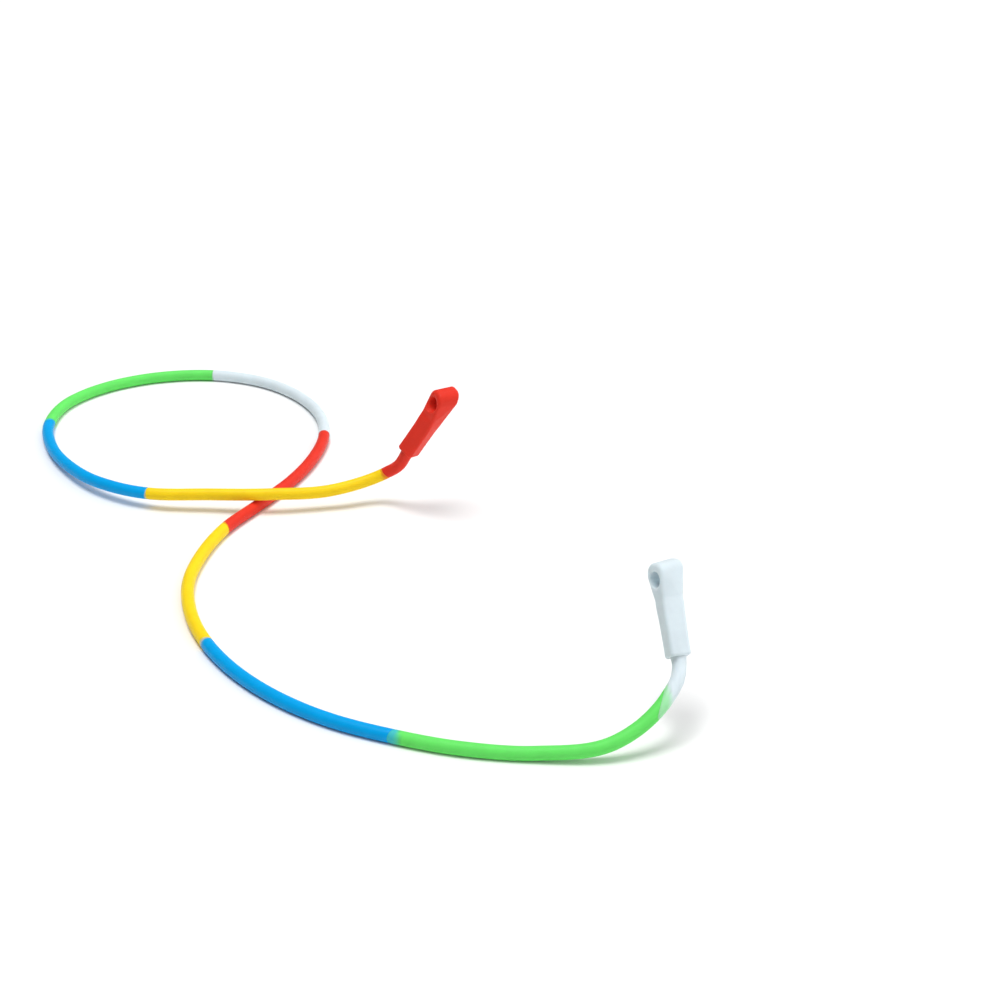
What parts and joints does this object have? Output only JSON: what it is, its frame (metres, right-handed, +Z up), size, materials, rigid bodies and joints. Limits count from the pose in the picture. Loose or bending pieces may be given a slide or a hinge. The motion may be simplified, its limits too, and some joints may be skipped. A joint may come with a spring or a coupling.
{
  "type": "eyeglass retainer strap",
  "caption": "Silicone retainer strap for glasses: a soft grip with a hole for each temple, joined by a round cord moulded in coloured lengths.",
  "frame": {"origin": "middle of the temple hole in the red grip, 32 mm above the table that the cord lies on", "axes": "+X forward along the temples, +Y to the wearer's left, +Z up"},
  "size_m": [0.0973, 0.2715, 0.0357],
  "materials": {
    "red_silicone": "satin",
    "yellow_silicone": "satin",
    "blue_silicone": "satin",
    "green_silicone": "satin",
    "white_silicone": "satin"
  },
  "bodies": {
    "cord": {"cord_1_yellow": "yellow_silicone", "cord_2_blue": "blue_silicone", "cord_3_green": "green_silicone", "cord_4_white": "white_silicone", "cord_5_red": "red_silicone", "cord_6_yellow": "yellow_silicone", "cord_7_blue": "blue_silicone", "cord_8_green": "green_silicone"},
    "red_tail": {"red_tail": "red_silicone"},
    "red_grip": {"red_grip": "red_silicone"},
    "white_tail": {"white_tail": "white_silicone"},
    "white_grip": {"white_grip": "white_silicone"}
  },
  "joints": [
    {"name": "red_tail_bend", "type": "hinge", "parent": "cord", "child": "red_tail", "pos_m": [-0.0085, 0.0095, -0.01985], "axis": [0.5, 0.866, 0], "range_deg": [-40, 40], "stiffness_Nm_per_rad": 0.002, "deforming": ["red_tail"]},
    {"name": "red_grip_twist", "type": "hinge", "parent": "red_tail", "child": "red_grip", "pos_m": [-0.00705, 0.00705, -0.01535], "axis": [0.3851, -0.3851, 0.8387], "range_deg": [-45, 45], "stiffness_Nm_per_rad": 0.001},
    {"name": "white_tail_bend", "type": "hinge", "parent": "cord", "child": "white_tail", "pos_m": [-0.0178, -0.1318, -0.01755], "axis": [-0.5736, 0.8192, 0], "range_deg": [-40, 40], "stiffness_Nm_per_rad": 0.002, "deforming": ["white_tail"]},
    {"name": "white_grip_twist", "type": "hinge", "parent": "white_tail", "child": "white_grip", "pos_m": [-0.01577, -0.12895, -0.01442], "axis": [0.2004, 0.5821, 0.788], "range_deg": [-45, 45], "stiffness_Nm_per_rad": 0.001}
  ]
}
